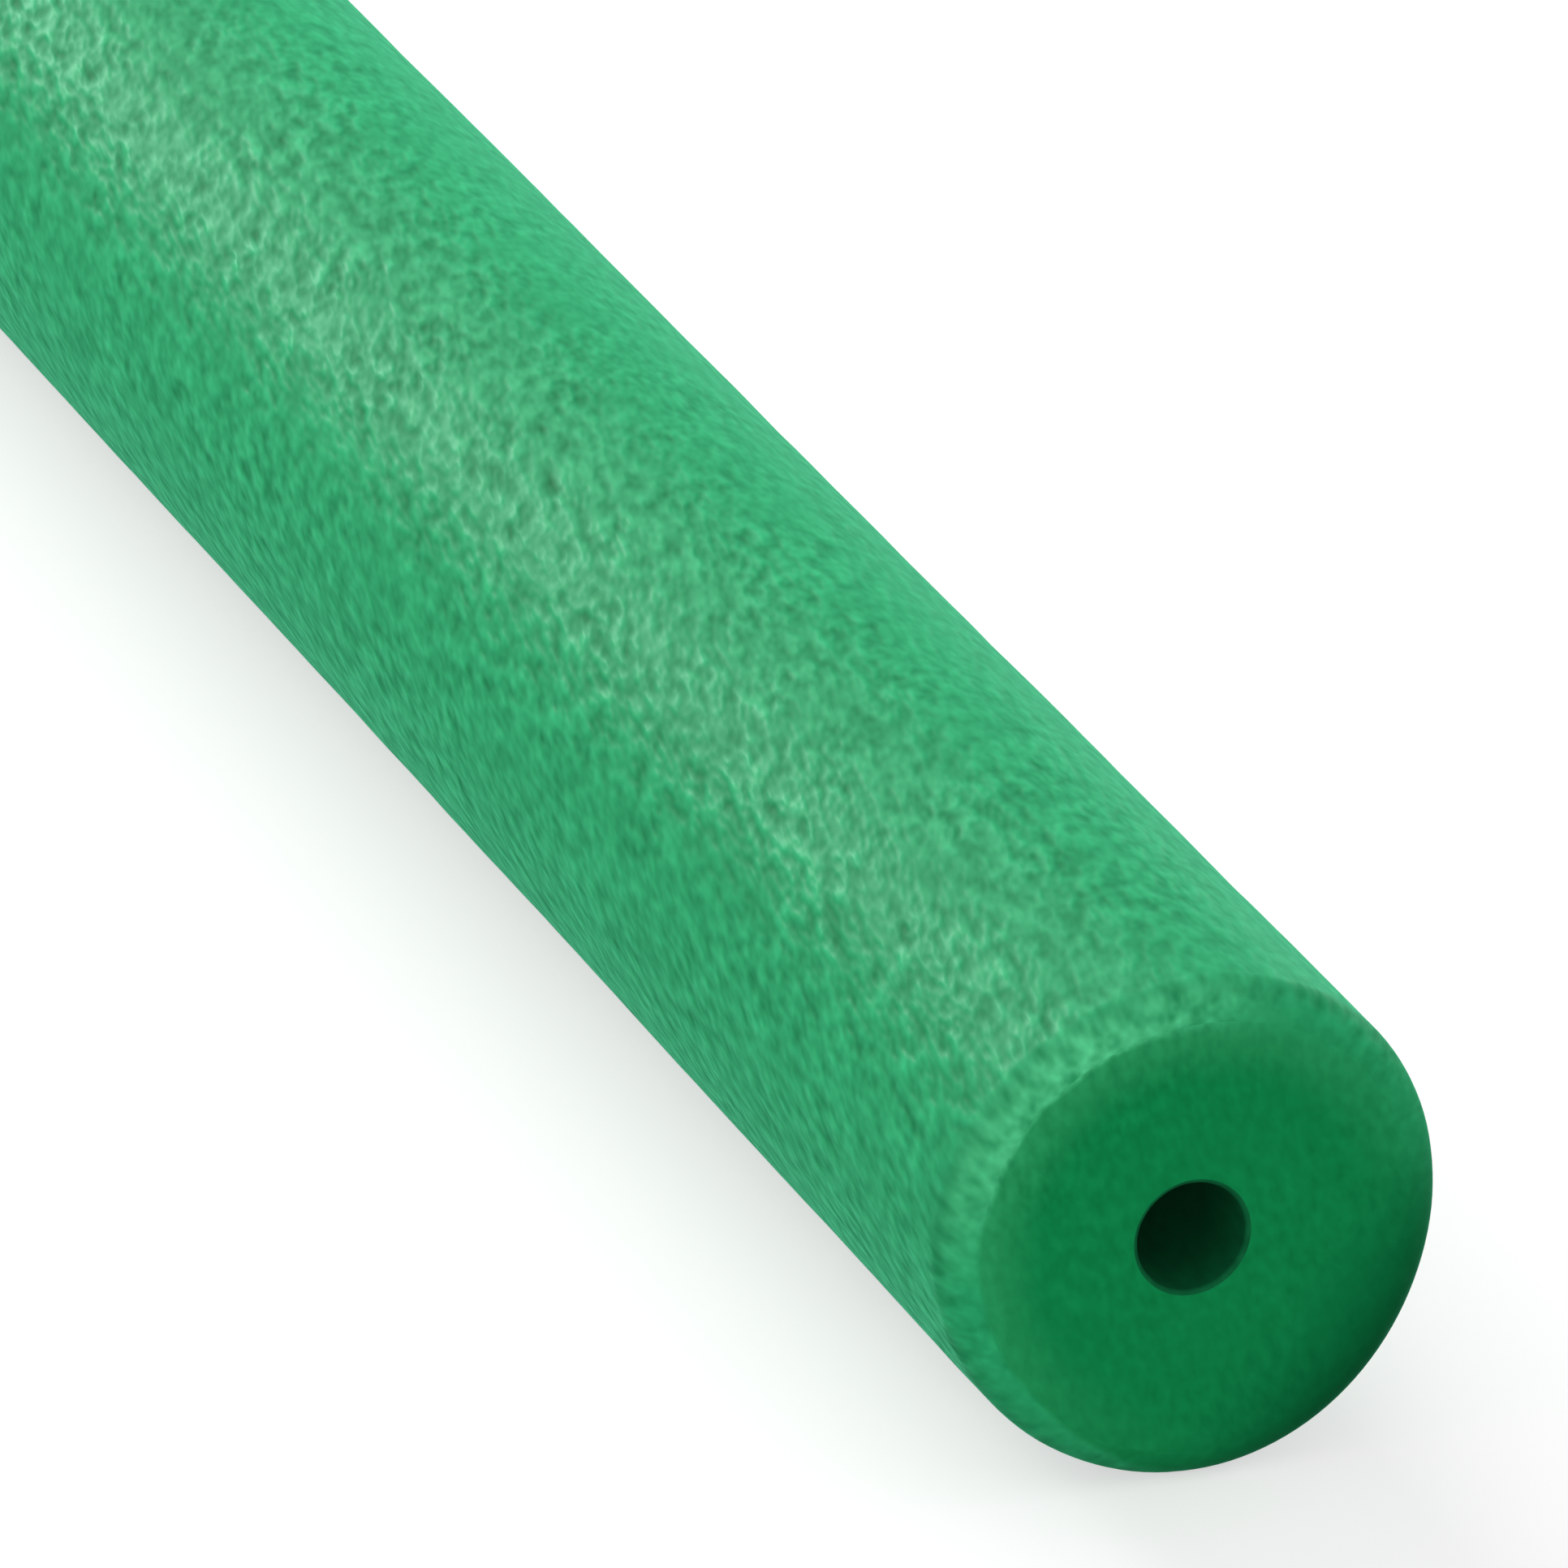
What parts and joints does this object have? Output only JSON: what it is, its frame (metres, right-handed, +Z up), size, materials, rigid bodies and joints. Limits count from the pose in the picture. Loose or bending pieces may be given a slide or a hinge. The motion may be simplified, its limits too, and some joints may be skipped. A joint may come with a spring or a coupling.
{
  "type": "pool noodle",
  "caption": "Long round foam tube with a narrow bore right through it and softened cut ends, for floating and play.",
  "frame": {"origin": "the floor point under the middle of the tube, on its flat resting strip", "axes": "+X along the tube towards the end that the picture shows, +Z up, +Y across the tube"},
  "size_m": [1.5, 0.065, 0.0646],
  "materials": {
    "foam": "matte"
  },
  "bodies": {
    "root": {"foam_tube": "foam"}
  },
  "joints": []
}
